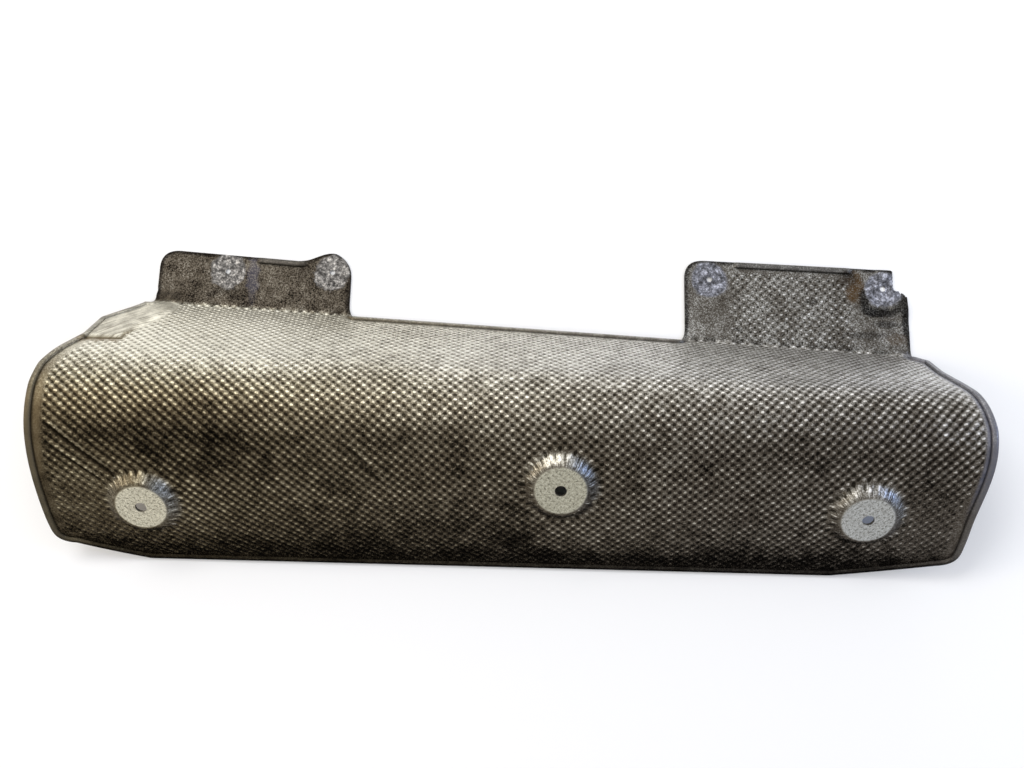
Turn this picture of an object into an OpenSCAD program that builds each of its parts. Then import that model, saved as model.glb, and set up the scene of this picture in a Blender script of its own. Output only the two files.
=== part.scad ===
// Exhaust heat shield: one embossed aluminium sheet, pressed into a half tunnel
// with two fixing tabs along its rear edge, three raised screw pads and a folded hem.
// X runs along the shield, Y from its front edge to its tabs, Z up from what it lies on.

/* [Sheet] */
// Length of the shield, end to end
shield_l = 598; // [560:1:640]
// Thickness of the embossed sheet
sheet_t = 2; // [1.4:0.1:2.6]
// Width of the hem that is folded over along every free edge
hem_w = 4; // [3:0.1:5]
// Height of the folded hem above the sheet
hem_t = 1.2; // [0.6:0.1:1.6]
// Radius of the outer corners
corner_r = 13; // [10:0.5:16]

/* [Front wall] */
// Length of the curved front wall at the right end, along the sheet
front_length = 102; // [92:1:112]
// How much longer the front wall is at the left end
front_more = 4; // [0:0.5:8]

/* [Section at the left end] */
// Slope of the front wall at its lower edge, in degrees
front_slope_l = 68; // [62:1:76]
// Slope where the front wall meets the crown, in degrees
shoulder_l = 20; // [14:1:26]
// Radius of the crown
crown_r_l = 54; // [48:1:60]
// Slope of the flat rear wall, in degrees
rear_slope_l = 49; // [45:1:54]

/* [Section at the right end] */
// Slope of the front wall at its lower edge, in degrees
front_slope_r = 63.5; // [58:0.5:70]
// Slope where the front wall meets the crown, in degrees
shoulder_r = 25; // [19:1:31]
// Radius of the crown
crown_r_r = 32; // [28:1:38]
// Slope of the flat rear wall, in degrees
rear_slope_r = 59; // [55:1:63]

/* [Tabs] */
// Depth of the left tab at its left corner, from the fold to its rear edge
left_tab_d = 37.8; // [34:0.2:42]
// Depth of the right tab at its left corner, from the fold to its rear edge
right_tab_d = 56.7; // [52:0.3:61]
// How far the left tab's rear edge slants towards the front, in degrees
left_slant = 4.4; // [3:0.2:6]
// How far the right tab's rear edge and holes slant towards the front, in degrees
right_slant = 2.4; // [1:0.2:3.6]
// Left edge of the left tab
left_tab_x = -255; // [-262:1:-250]
// Left edge of the right tab
right_tab_x = 123; // [118:1:130]
// Radius of the fold between a wall and its tab
fold_r = 5; // [3:0.5:7]
// How far the inner foot of a tab flares out along the wall
flare = 6; // [2:0.5:8]
// How far the rounded ear stands out at the left tab's inner hole
ear_h = 8; // [5:0.5:9]
// Length of the ear's flank along the tab's edge
ear_run = 25; // [20:1:30]

/* [Holes] */
// Diameter of the screw holes in the pads
pad_hole_d = 7.5; // [6:0.1:9]
// Diameter of the screw holes in the tabs
tab_hole_d = 6.6; // [5.5:0.1:8]
// Distance from the left tab's holes to its rear edge
left_hole_margin = 15; // [12.5:0.5:18]
// Distance from the right tab's first hole to its rear edge
right_hole_margin = 14; // [12:0.5:18]
// First hole of the left tab, from the tab's left edge
left_hole_x = 50.5; // [45:0.5:56]
// Hole spacing on the left tab
left_hole_gap = 76; // [68:0.5:82]
// Distance from the left tab's inner hole to the tab's edge
left_hole_edge = 13.5; // [12.5:0.5:18]
// First hole of the right tab, from the tab's left edge
right_hole_x = 17.5; // [16:0.5:22]
// Hole spacing on the right tab
right_hole_gap = 121; // [115:0.5:126]
// Distance from the right tab's outer hole to the tab's edge
right_hole_edge = 16.6; // [15:0.2:18]

/* [Pads] */
// Radius of the flat face of a pad
pad_r = 17; // [14:0.5:18]
// Width of the sloping skirt round a pad
pad_skirt = 7; // [5:0.5:8]
// Height of a pad above the sheet
pad_h = 4; // [2:0.5:6]
// Place of the left pad along the shield
left_pad_x = -229.5; // [-236:0.5:-224]
// Place of the middle pad along the shield
mid_pad_x = 37; // [30:1:44]
// Place of the right pad along the shield
right_pad_x = 227; // [222:0.5:236]
// Height of the left pad, as a share of the front wall's length
left_pad_share = 0.545; // [0.5:0.005:0.6]
// Height of the middle pad, as a share of the front wall's length
mid_pad_share = 0.728; // [0.65:0.002:0.75]
// Height of the right pad, as a share of the front wall's length
right_pad_share = 0.576; // [0.53:0.002:0.62]

/* [Trimmed ends] */
// Length of the slanted cut at the lower left corner
left_cut_l = 46; // [36:1:56]
// Height of the slanted cut at the lower left corner
left_cut_h = 20; // [14:1:24]
// Length of the slanted cut at the lower right corner
right_cut_l = 70; // [60:1:80]
// Height of the slanted cut at the lower right corner
right_cut_h = 17; // [12:1:22]
// How far the left end is cut back beside its tab
left_rake = 34; // [28:1:38]
// Length of that cut, down the end
left_rake_run = 105; // [95:1:115]
// How far the right end is cut back beside its tab
right_rake = 12; // [8:1:16]
// Length of that cut, down the end
right_rake_run = 95; // [85:1:105]
// How far the left end draws in towards the front edge
left_lean = 2; // [1:0.5:4]
// How far the right end draws in towards the front edge
right_lean = 6; // [3:0.5:8]
// Length of the torn notch in the right tab's corner
tear_l = 9.5; // [8:0.5:12]
// How far the torn edge falls away towards the side of the tab
tear_fall = 5; // [0:0.5:8]
// How uneven the torn edge is
tear_rag = 1.5; // [0.5:0.1:2]

/* [Hidden] */

half_l = shield_l / 2;
half_t = sheet_t / 2;
foot_w = 0.6;
pad_reach = pad_r + pad_skirt;
edge_steps = [0, hem_w, hem_w + foot_w, 0.7 * corner_r, corner_r];
left_tab_end = left_tab_x + left_hole_x + left_hole_gap + left_hole_edge;
right_tab_end = right_tab_x + right_hole_x + right_hole_gap * cos(right_slant) + right_hole_edge;
front_over = (half_t + hem_t) * sin(front_slope_l);
left_tab_reach = fold_y(left_tab_x + corner_r) + left_tab_d;
right_tab_reach = fold_y(right_tab_x + corner_r) + right_tab_d;
left_hole_y = left_tab_reach - left_hole_margin;
right_hole_y = right_tab_reach - right_hole_margin;
ear_x = left_tab_x + left_hole_x + left_hole_gap;
ear_top = left_tab_reach - (ear_x - left_tab_x - corner_r) * tan(left_slant) + ear_h;
mid_y = (max(left_tab_reach, ear_top, right_tab_reach) - front_over) / 2;
left_pad_s = left_pad_share * front_run(left_pad_x);
mid_pad_s = mid_pad_share * front_run(mid_pad_x);
right_pad_s = right_pad_share * front_run(right_pad_x);
tab_holes = [
    [left_tab_x + left_hole_x, left_hole_y],
    [ear_x, left_hole_y],
    [right_tab_x + right_hole_x, right_hole_y],
    [right_tab_x + right_hole_x + right_hole_gap * cos(right_slant),
     right_hole_y - right_hole_gap * sin(right_slant)]];
skin_colour = [0.42, 0.40, 0.37];

function mix(a, b, t) = a + (b - a) * t;
function between(a, b, n) = [for (k = [1 : n - 1]) mix(a, b, k / n)];
function clamp(v) = min(1, max(0, v));
function ease(v) = let (c = clamp(v)) c * c * (3 - 2 * c);

// Slopes and lengths of the section at one place along the shield
function share(x) = (x + half_l) / shield_l;
function front_slope(x) = mix(front_slope_l, front_slope_r, share(x));
function shoulder(x) = mix(shoulder_l, shoulder_r, share(x));
function front_run(x) = front_length + front_more * (1 - share(x));
function crown_r(x) = mix(crown_r_l, crown_r_r, share(x));
function rear_slope(x) = mix(rear_slope_l, rear_slope_r, share(x));
function front_z(x) = half_t * cos(front_slope(x));
function front_r(x) = front_run(x) * 180 / PI / (front_slope(x) - shoulder(x));
function crown_run(x) = crown_r(x) * PI / 180 * (shoulder(x) + rear_slope(x));
function crown_y(x) = front_r(x) * (sin(front_slope(x)) - sin(shoulder(x)));
function crown_z(x) = front_z(x) + front_r(x) * (cos(shoulder(x)) - cos(front_slope(x)));
function wall_y(x) = crown_y(x) + crown_r(x) * (sin(shoulder(x)) + sin(rear_slope(x)));
function wall_z(x) = crown_z(x) + crown_r(x) * (cos(rear_slope(x)) - cos(shoulder(x)));
function fold_cut(x) = fold_r * tan(rear_slope(x) / 2);
function wall_run(x) = (wall_z(x) - half_t) / sin(rear_slope(x)) - fold_cut(x);
function body_run(x) = front_run(x) + crown_run(x) + wall_run(x);
function fold_y(x) = wall_y(x) + wall_run(x) * cos(rear_slope(x)) + fold_r * sin(rear_slope(x));

// Slope of the sheet at the distance s up from the front edge
function slope(x, s) =
    let (a = s / front_r(x) * 180 / PI)
    let (b = (s - front_run(x)) / crown_r(x) * 180 / PI)
    s < front_run(x) ? front_slope(x) - a : max(-rear_slope(x), shoulder(x) - b);

// Middle of the sheet's thickness at x and s
function sheet_point(x, s) =
    let (q = slope(x, s))
    let (over = s - front_run(x) - crown_run(x))
    s < front_run(x)
        ? [x, front_r(x) * (sin(front_slope(x)) - sin(q)),
           front_z(x) + front_r(x) * (cos(q) - cos(front_slope(x)))]
        : over < 0
            ? [x, crown_y(x) + crown_r(x) * (sin(shoulder(x)) - sin(q)),
               crown_z(x) + crown_r(x) * (cos(q) - cos(shoulder(x)))]
            : [x, wall_y(x) + over * cos(rear_slope(x)), wall_z(x) - over * sin(rear_slope(x))];
function out_dir(q) = [0, -sin(q), cos(q)];

// Outline of the sheet: how far the lower corners rise and the ends are cut back, from the distances
// up from the front edge (s) and left to the rear edge (rest), with each raked cut's own curve
left_rake_curve = [[0, 1.1], [0.06, 1], [0.28, 0.5], [0.52, 0.46], [0.86, 0.05], [1, 0]];
right_rake_curve = [[0, 1.7], [0.08, 1], [0.32, 0.95], [0.57, 0.5], [1, 0]];
function lower_rise(x) =
    x < 0 ? left_cut_h * clamp(1 - (x + half_l - corner_r) / left_cut_l)
          : right_cut_h * clamp(1 - (half_l - corner_r - x) / right_cut_l);
function end_lean(x, s) = ease(2 - 2 * s / front_run(x));
function left_trim(x, s, rest) =
    left_lean * end_lean(x, s)
    + left_rake * lookup(rest / left_rake_run, left_rake_curve);
function right_trim(x, s, rest) =
    right_lean * end_lean(x, s)
    + right_rake * lookup(rest / right_rake_run, right_rake_curve);

// Columns of the sheet's grid: their places on the front wall, and on the rear edge and tabs
function side(x, dir) = [for (e = edge_steps) x + dir * e];
function reversed(list) = [for (k = [len(list) - 1 : -1 : 0]) list[k]];
ring_steps = [-pad_reach, -pad_r - pad_skirt / 3, -pad_r, -pad_r / 2, 0, pad_r / 2, pad_r, pad_reach];
function ring(x) = [for (e = ring_steps) x + e];
front_columns = concat(
    side(-half_l, 1),
    between(-half_l + corner_r, left_pad_x - pad_reach, 3),
    ring(left_pad_x),
    between(left_pad_x + pad_reach, left_tab_end, 8),
    [left_tab_end],
    between(left_tab_end, mid_pad_x - pad_reach, 8),
    ring(mid_pad_x),
    between(mid_pad_x + pad_reach, right_pad_x - pad_reach, 14),
    ring(right_pad_x),
    between(right_pad_x + pad_reach, half_l - corner_r, 4),
    reversed(side(half_l, -1)));
tab_columns = concat(
    side(-half_l, 1),
    between(-half_l + corner_r, left_tab_x, 3),
    side(left_tab_x, 1),
    between(left_tab_x + corner_r, tab_holes[0].x, 3),
    [tab_holes[0].x],
    between(tab_holes[0].x, left_tab_end - corner_r, 4),
    reversed(side(left_tab_end, -1)),
    between(left_tab_end, mid_pad_x - pad_reach, 8),
    ring(mid_pad_x),
    between(mid_pad_x + pad_reach, right_tab_x, 4),
    side(right_tab_x, 1),
    between(right_tab_x + corner_r, right_tab_end - tear_l, 13),
    [right_tab_end - tear_l, right_tab_end - hem_w - foot_w, right_tab_end - hem_w, right_tab_end],
    reversed(side(half_l, -1)));
columns = len(front_columns);
left_tab_cols = [search(left_tab_x, tab_columns)[0], search(left_tab_end, tab_columns)[0]];
right_tab_cols = [search(right_tab_x, tab_columns)[0], search(right_tab_end, tab_columns)[0]];
tear_col = search(right_tab_end - tear_l, tab_columns)[0];

// Rows of the grid, from the front edge up: the wall first, then the folds and tabs
pad_rows = [-pad_reach, -pad_r, -pad_r / 2, 0, pad_r / 2, pad_r, pad_reach];
pad_line = [
    [left_pad_x - pad_reach, left_pad_s], [left_pad_x + pad_reach, left_pad_s],
    [mid_pad_x - pad_reach, mid_pad_s], [mid_pad_x + pad_reach, mid_pad_s],
    [right_pad_x - pad_reach, right_pad_s], [right_pad_x + pad_reach, right_pad_s]];
first_pad_row = len(edge_steps) + 1;
last_pad_row = first_pad_row + len(pad_rows) - 1;
crown_row = last_pad_row + 2;
rear_row = crown_row + 8;
hem_row = rear_row + 4;
wall_rows = hem_row + 3;
fold_rows = 2;
rows = wall_rows + fold_rows + 1 + len(edge_steps);
tear_row = rows - len(edge_steps);
function wall_row(j, x) =
    let (pad_s = lookup(x, pad_line), low = lower_rise(x))
    let (run = body_run(x), crown = front_run(x), wall = crown + crown_run(x))
    j < len(edge_steps) ? edge_steps[j] + low
    : j < first_pad_row ? mix(corner_r + low, pad_s - pad_reach, 0.5)
    : j <= last_pad_row ? pad_s + pad_rows[j - first_pad_row]
    : j < crown_row ? mix(pad_s + pad_reach, crown, 0.5)
    : j < rear_row ? mix(crown, wall, (j - crown_row) / (rear_row - crown_row))
    : j < hem_row ? mix(wall, run - hem_w - foot_w, (j - rear_row) / (hem_row - rear_row))
    : run - [hem_w + foot_w, hem_w, 0][j - hem_row];

// A square patch of the grid drawn in to a quarter of a disc, for a corner or a pad
function rounded(p) =
    let (n = norm(p))
    n == 0 ? p : p * max(abs(p.x), abs(p.y)) / n;
function corner_shift(a, b) = a > 0 && b > 0 ? rounded([a, b]) - [a, b] : [0, 0];

// Place of a grid line along the shield, with the columns near an end held inside its trimmed edge
function fit_end(off, trim, room) =
    let (hem = hem_w + foot_w)
    off >= room ? off : trim + (off <= hem ? off : hem + (off - hem) * (room - trim - hem) / (room - hem));
function whole_x(i, j) =
    mix(front_columns[i], tab_columns[i], ease((j - last_pad_row) / (hem_row - last_pad_row)));
function column_x(i, j) =
    let (x = whole_x(i, j), s = wall_row(j, x), rest = body_run(x) - s)
    x < 0 ? -half_l + fit_end(x + half_l, left_trim(x, s, rest), left_tab_x + half_l)
          : half_l - fit_end(half_l - x, right_trim(x, s, rest), half_l - right_tab_end);

// Flare of the two inner feet, where the wall's rear edge runs into a tab
function near(x, foot) = clamp(1 - abs(x - foot) / corner_r);
function foot_flare(x, j) =
    let (w = j < wall_rows ? ease((j - rear_row) / (hem_row - rear_row)) : [0.6, 0.25][j - wall_rows])
    flare * w * (near(x, left_tab_end) - near(x, right_tab_x));

// Nearest pad to a place on the wall, as [x, s], or none
pads = [[left_pad_x, left_pad_s], [mid_pad_x, mid_pad_s], [right_pad_x, right_pad_s]];
function pad_at(x, s) = [for (p = pads) if (max(abs(x - p.x), abs(s - p.y)) < pad_reach - 0.01) p];
function pad_top(p) = sheet_point(p.x, p.y) + pad_h * out_dir(slope(p.x, p.y));

// One point of the wall, as [middle of the sheet, outward direction]
function wall_vertex(i, j) =
    let (nominal = whole_x(i, j), own_x = column_x(i, j))
    let (x = own_x + foot_flare(own_x, j), s = wall_row(j, x), low = corner_r + lower_rise(x) - s)
    let (left = corner_shift(corner_r - half_l - nominal, low))
    let (right = corner_shift(corner_r - half_l + nominal, low))
    let (hit = pad_at(x, s))
    len(hit) > 0
        ? let (p = hit[0], r = rounded([x, s] - p), out = out_dir(slope(p.x, p.y)))
          let (q = sheet_point(p.x + r.x, p.y + r.y), own = out_dir(slope(p.x + r.x, p.y + r.y)))
          let (w = ease((pad_reach - norm(r)) / pad_skirt))
          [q + w * ((pad_top(p) - q) * out) * out, mix(own, out, w) / norm(mix(own, out, w))]
        : let (u = x - left.x + right.x, v = s - left.y - right.y)
          [sheet_point(u, v), out_dir(slope(u, v))];

// One point of a fold or tab, with its own depth and rounded corners
function is_left(i) = i >= left_tab_cols[0] && i <= left_tab_cols[1];
function tab_edge(i) = is_left(i) ? [left_tab_x, left_tab_end] : [right_tab_x, right_tab_end];
function ear(x) = ear_h * ease(1 - abs(x - ear_x) / ear_run);
function tab_reach(i, x) =
    let (along = max(0, x - tab_edge(i)[0] - corner_r))
    is_left(i) ? left_tab_reach - along * tan(left_slant) + ear(x)
               : right_tab_reach - along * tan(right_slant);
function torn(i, j) = i >= tear_col && i < right_tab_cols[1] && j >= tear_row;
function rag(i, j) =
    j != tear_row || i < tear_col || i > right_tab_cols[1] ? 0
    : tear_rag * sin(137 * i) - tear_fall * (tab_columns[i] - right_tab_end + tear_l) / tear_l;
function tab_vertex(i, j) =
    let (x = tab_columns[i], k = j - wall_rows, y0 = fold_y(x), depth = tab_reach(i, x) - y0)
    k < fold_rows
        ? let (q = rear_slope(x) * (1 - (k + 1) / 2))
          [[x + foot_flare(x, j), y0 - fold_r * sin(q), half_t + fold_r * (1 - cos(q))], out_dir(-q)]
        : let (back = k == fold_rows ? (depth + corner_r) / 2 : edge_steps[rows - 1 - j])
          let (edge = tab_edge(i), whole = is_left(i) || x < right_tab_x + corner_r)
          let (left = corner_shift(edge[0] + corner_r - x, corner_r - back))
          let (right = whole ? corner_shift(x - edge[1] + corner_r, corner_r - back) : [0, 0])
          [[x - left.x + right.x, y0 + depth - back + left.y + right.y + rag(i, j), half_t], [0, 0, 1]];
function vertex(i, j) = j < wall_rows ? wall_vertex(i, j) : tab_vertex(i, j);

// Which cells of the grid are sheet, and which of those are the folded hem
function within(i, cols) = i >= cols[0] && i < cols[1];
function in_tab(i) = within(i, left_tab_cols) || within(i, right_tab_cols);
function is_sheet(i, j) =
    i >= 0 && i < columns - 1 && j >= 0 && j < rows - 1
    && (j < wall_rows - 1 || (in_tab(i) && !torn(i, j)));
tab_sides = [left_tab_cols[0], left_tab_cols[1] - 1, right_tab_cols[0], right_tab_cols[1] - 1];
function on_wall_edge(i, j) = i == 0 || i == columns - 2 || j == 0 || (j == wall_rows - 2 && !in_tab(i));
function on_tab_edge(i, j) = j == rows - 2 || (j >= wall_rows - 2 && len(search(i, tab_sides)) > 0);
function is_hem(i, j) = is_sheet(i, j) && (on_wall_edge(i, j) || on_tab_edge(i, j));
function near_hole(p) = min([for (h = tab_holes) norm([p.x - h.x, p.y - h.y])]);
function hem_rise(i, j, p) =
    is_hem(i, j) || is_hem(i - 1, j) || is_hem(i, j - 1) || is_hem(i - 1, j - 1)
        ? hem_t * ease((near_hole(p) - corner_r) / hem_w) : 0;

// The sheet as one closed solid: outer face, inner face, and the cut edge between them
module sheet() {
    grid = [for (i = [0 : columns - 1]) for (j = [0 : rows - 1])
        (j < wall_rows || in_tab(i) || in_tab(i - 1)) ? vertex(i, j) : [[0, 0, 0], [0, 0, 1]]];
    outer = [for (k = [0 : len(grid) - 1])
        grid[k][0] + grid[k][1] * (half_t + hem_rise(floor(k / rows), k % rows, grid[k][0]))];
    inner = [for (g = grid) g[0] - g[1] * half_t];
    n = len(grid);
    cells = [for (i = [0 : columns - 2]) for (j = [0 : rows - 2]) if (is_sheet(i, j)) [i, j]];
    outer_faces = [for (c = cells) let (a = c[0] * rows + c[1], b = a + rows)
        each [[a, a + 1, b + 1], [a, b + 1, b]]];
    inner_faces = [for (f = outer_faces) [n + f[2], n + f[1], n + f[0]]];
    rims = [for (c = cells) let (i = c[0], j = c[1], a = i * rows + j, b = a + rows) each concat(
        is_sheet(i - 1, j) ? [] : [[a + 1, a]],
        is_sheet(i + 1, j) ? [] : [[b, b + 1]],
        is_sheet(i, j - 1) ? [] : [[a, b]],
        is_sheet(i, j + 1) ? [] : [[b + 1, a + 1]])];
    rim_faces = [for (r = rims) each [[r[0], r[1], n + r[1]], [r[0], n + r[1], n + r[0]]]];
    polyhedron(concat(outer, inner), concat(outer_faces, inner_faces, rim_faces), convexity = 8);
}

// Screw holes, square to the pads and tabs that they go through
module pad_holes() {
    for (p = pads)
        translate(pad_top(p))
            rotate([slope(p.x, p.y), 0, 0])
                cylinder(h = 6 * sheet_t, d = pad_hole_d, center = true, $fn = 48);
}
module tab_screw_holes() {
    for (h = tab_holes)
        translate([h.x, h.y, half_t])
            cylinder(h = 6 * sheet_t, d = tab_hole_d, center = true, $fn = 48);
}

module heat_shield() {
    color(skin_colour)
        translate([0, -mid_y, 0])
            difference() {
                sheet();
                pad_holes();
                tab_screw_holes();
            }
}

heat_shield();
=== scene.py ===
import math
from functools import partial

import bpy
import numpy as np
from mathutils import Matrix, Vector
from mathutils.geometry import delaunay_2d_cdt
from mathutils.kdtree import KDTree


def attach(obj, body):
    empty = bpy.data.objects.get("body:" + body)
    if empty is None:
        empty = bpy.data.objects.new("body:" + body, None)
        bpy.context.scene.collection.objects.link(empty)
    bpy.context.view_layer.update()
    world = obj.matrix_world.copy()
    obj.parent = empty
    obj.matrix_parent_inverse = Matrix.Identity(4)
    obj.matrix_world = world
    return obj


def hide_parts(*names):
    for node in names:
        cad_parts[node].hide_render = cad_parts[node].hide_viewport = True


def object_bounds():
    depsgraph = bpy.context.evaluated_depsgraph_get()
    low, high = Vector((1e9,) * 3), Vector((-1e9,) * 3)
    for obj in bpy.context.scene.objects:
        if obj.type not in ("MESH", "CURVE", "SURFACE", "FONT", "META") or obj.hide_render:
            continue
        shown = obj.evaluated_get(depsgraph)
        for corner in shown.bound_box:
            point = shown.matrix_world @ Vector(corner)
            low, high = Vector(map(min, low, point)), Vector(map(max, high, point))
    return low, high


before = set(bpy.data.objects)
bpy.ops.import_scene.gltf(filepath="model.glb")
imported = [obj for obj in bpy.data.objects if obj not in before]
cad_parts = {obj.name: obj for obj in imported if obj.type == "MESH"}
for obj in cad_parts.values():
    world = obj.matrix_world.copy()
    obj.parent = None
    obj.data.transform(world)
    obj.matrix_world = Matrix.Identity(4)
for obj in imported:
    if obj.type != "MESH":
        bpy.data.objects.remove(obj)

bl_info = {
    "name": "Exhaust heat shield",
    "version": (1, 0, 0),
    "blender": (4, 5, 0),
    "location": "3D View > Sidebar > Heat shield",
    "description": "An embossed aluminium heat shield, worn and stained, with its stage",
    "category": "Object",
}

CAD_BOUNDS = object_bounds()

# Sizes shared with the part, in metres and degrees

HALF_LENGTH = 0.299
HALF_T = 0.001
HEM_HEIGHT = 0.0012
CORNER_R = 0.013
SECTION_NAMES = ("front_slope", "shoulder", "front_run", "crown_r", "rear_slope")
LEFT_SECTION = dict(zip(SECTION_NAMES, (68.0, 20.0, 0.106, 0.054, 49.0)))
RIGHT_SECTION = dict(zip(SECTION_NAMES, (63.5, 25.0, 0.102, 0.032, 59.0)))
FOLD_R = 0.005
LEFT_TAB = (-0.255, -0.115)
RIGHT_TAB = (0.123, 0.277994)
LEFT_TAB_REACH, RIGHT_TAB_REACH = 0.218495, 0.215971
LEFT_SLANT, RIGHT_SLANT = 4.4, 2.4
EAR_X, EAR_HEIGHT, EAR_RUN = -0.1285, 0.008, 0.025
FOOT_FLARE = 0.006
TEAR_LENGTH, TEAR_FALL = 0.0095, 0.005
LEFT_CUT, RIGHT_CUT = (0.046, 0.020), (0.070, 0.017)
LEFT_RAKE, RIGHT_RAKE = 0.034, 0.012
LEFT_RAKE_RUN, RIGHT_RAKE_RUN = 0.105, 0.095
LEFT_RAKE_CURVE = ((0, 0.06, 0.28, 0.52, 0.86, 1), (1.1, 1, 0.5, 0.46, 0.05, 0))
RIGHT_RAKE_CURVE = ((0, 0.08, 0.32, 0.57, 1), (1.7, 1, 0.95, 0.5, 0))
LEFT_LEAN, RIGHT_LEAN = 0.002, 0.006
PADS = ((-0.2295, 0.05752), (0.037, 0.07553), (0.227, 0.05903))
PAD_R, PAD_SKIRT, PAD_HEIGHT, PAD_HOLE_R = 0.017, 0.007, 0.004, 0.00375
RIGHT_HOLE_GAP = 0.121
TAB_HOLES = (
    (-0.2045, 0.203495),
    (-0.1285, 0.203495),
    (0.1405, 0.201971),
    (0.1405 + RIGHT_HOLE_GAP * math.cos(math.radians(RIGHT_SLANT)),
     0.201971 - RIGHT_HOLE_GAP * math.sin(math.radians(RIGHT_SLANT))),
)
TAB_HOLE_R = 0.0033
PAD_OPENING_COUNT, TAB_OPENING_COUNT = 28, 24
FRONT_OVER = (HALF_T + HEM_HEIGHT) * math.sin(math.radians(LEFT_SECTION["front_slope"]))
MID_Y = (LEFT_TAB_REACH - FRONT_OVER) / 2

# The embossed pattern: peaks in staggered rows, turned a little on the sheet

PITCH_ALONG = 0.00636
PITCH_UP = 0.00588
PATTERN_TURN = math.radians(3.01)
RIDGE_SHARPNESS = 1.15
RIDGE_LEAN, RIDGE_MIDDLE, RIDGE_REACH = 0.50, 0.05, 0.22

# Past these distances up the sheet its two sets of ridges become more alike, as far as the share given
EVEN_FROM, EVEN_TO, EVEN_SHARE = 0.140, 0.170, 0.3

# How far round a pad the sheet was drawn up, and by how much that stretched its pattern
DRAWN_REACH, DRAWN_STRETCH = 0.0095, 2.0

# How far from the rear fold the rows of the pattern begin to close up, and by how much at the fold itself
CLOSING_REACH, CLOSING = 0.045, 0.6

BOUNDARY_STEP = 0.0015
RING_COUNT = 112
PAD_RINGS = (0.0062, 0.0085, 0.0108, 0.0128, 0.0146, 0.0158, 0.0166, 0.0172, 0.0179, 0.0188,
             0.0199, 0.0211, 0.0224, 0.0238, 0.0253, 0.0267)

# The crust round each tab hole: how far out it reaches, how ragged its edge is, how far out its finer
# points go, and how wide an opening it has left, at most, measured from the hole's middle
CRUST_R, CRUST_RAGGED, CRUST_REACH, CRUST_OPENING = 0.0133, 0.0034, 0.0144, 0.0024
CRUST_STEP = 0.00095

# Edges that turn more than this are drawn sharp
SHARP_ANGLE = math.radians(62)

# How far the peaks stay below the part's own surface, and how the plain inner face is stained and marked: its
# flat face is given the pattern's colours, painted highlights included, with peaks and pits the other way
# round
TOP_GAP = 0.00013
INNER_SOIL, INNER_SHOW = 0.6, -0.5

# Kinds of mesh attribute, by how many numbers a place has
VALUE_KINDS = {1: ("FLOAT", "value"), 3: ("FLOAT_VECTOR", "vector"), 4: ("FLOAT_COLOR", "color")}

# Stretches of hem that show on the tabs: from and to along the shield, and past which distance back
TAB_HEMS = ((-0.184, -0.147, 0.195), (0.158, 0.240, 0.195))

# Stains on the tabs, with painted shade in the torn corner's crumpled fold: place along and back, reach along
# and back, strength and colour
TAB_STAINS_AND_SHADE = (
    (0.243, 0.197, 0.008, 0.013, 1.00, "#4F3B22"),
    (0.235, 0.203, 0.009, 0.007, 0.75, "#2E2318"),
    # The next three near-black rows are painted shade in the crumpled fold under the crust at the torn corner
    (0.258, 0.1800, 0.016, 0.0045, 1.00, "#0D0B0A"),
    (0.248, 0.189, 0.005, 0.009, 0.95, "#0D0B0A"),
    (0.272, 0.185, 0.007, 0.006, 0.85, "#0D0B0A"),
    (0.276, 0.174, 0.003, 0.020, 0.95, "#14110E"),
    (0.262, 0.171, 0.013, 0.003, 0.70, "#14110E"),
    (0.250, 0.163, 0.020, 0.003, 0.55, "#1C1814"),
    (0.238, 0.207, 0.004, 0.003, 0.60, "#0D0B0A"),
    (0.268, 0.160, 0.010, 0.005, 0.45, "#5A4A38"),
    (0.160, 0.166, 0.004, 0.002, 0.60, "#14110E"),
    (0.212, 0.187, 0.005, 0.003, 0.50, "#14110E"),
    (-0.206, 0.189, 0.012, 0.003, 0.50, "#14110E"),
    (-0.186, 0.196, 0.005, 0.018, 0.30, "#55576A"),
    (-0.215, 0.186, 0.006, 0.003, 0.60, "#14110E"),
    (-0.196, 0.184, 0.008, 0.003, 0.60, "#14110E"),
    (-0.150, 0.203, 0.005, 0.010, 0.40, "#2A241E"),
)

# Dirt on the left and right tab and on the facet, from 0 for clean metal to 1
TAB_SOIL, FACET_SOIL = (0.74, 0.50), 0.09

# Dirt by share of the way up the sheet, with painted shade and reflection in it: darkest at the foot of the
# front wall, painted shade where the sheet turns under, and palest up the crown and rear wall, painted
# reflection of the lights; then darker or cleaner patches: place, reach along and up, strength
SOIL_AND_SHADING_BY_SHARE = ((0.03, 0.08, 0.15, 0.22, 0.30, 0.38, 0.46, 0.54, 0.62, 0.70, 0.78, 0.86, 0.94),
                 (1.00, 0.96, 0.78, 0.71, 0.69, 0.73, 0.71, 0.54, 0.37, 0.16, 0.10, 0.11, 0.15))
WALL_STAINS = ((-0.03, 0.045, 0.045, 0.016, 0.18), (0.10, 0.030, 0.030, 0.012, -0.06),
               (-0.20, 0.100, 0.060, 0.020, 0.12), (0.02, 0.105, 0.070, 0.016, -0.08),
               (0.00, 0.175, 0.100, 0.030, 0.04), (-0.16, 0.130, 0.080, 0.014, 0.04),
               (0.20, 0.105, 0.060, 0.015, 0.04), (0.26, 0.128, 0.040, 0.020, 0.05),
               (0.10, 0.012, 0.200, 0.006, 0.10), (-0.27, 0.085, 0.030, 0.030, -0.10))

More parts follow.
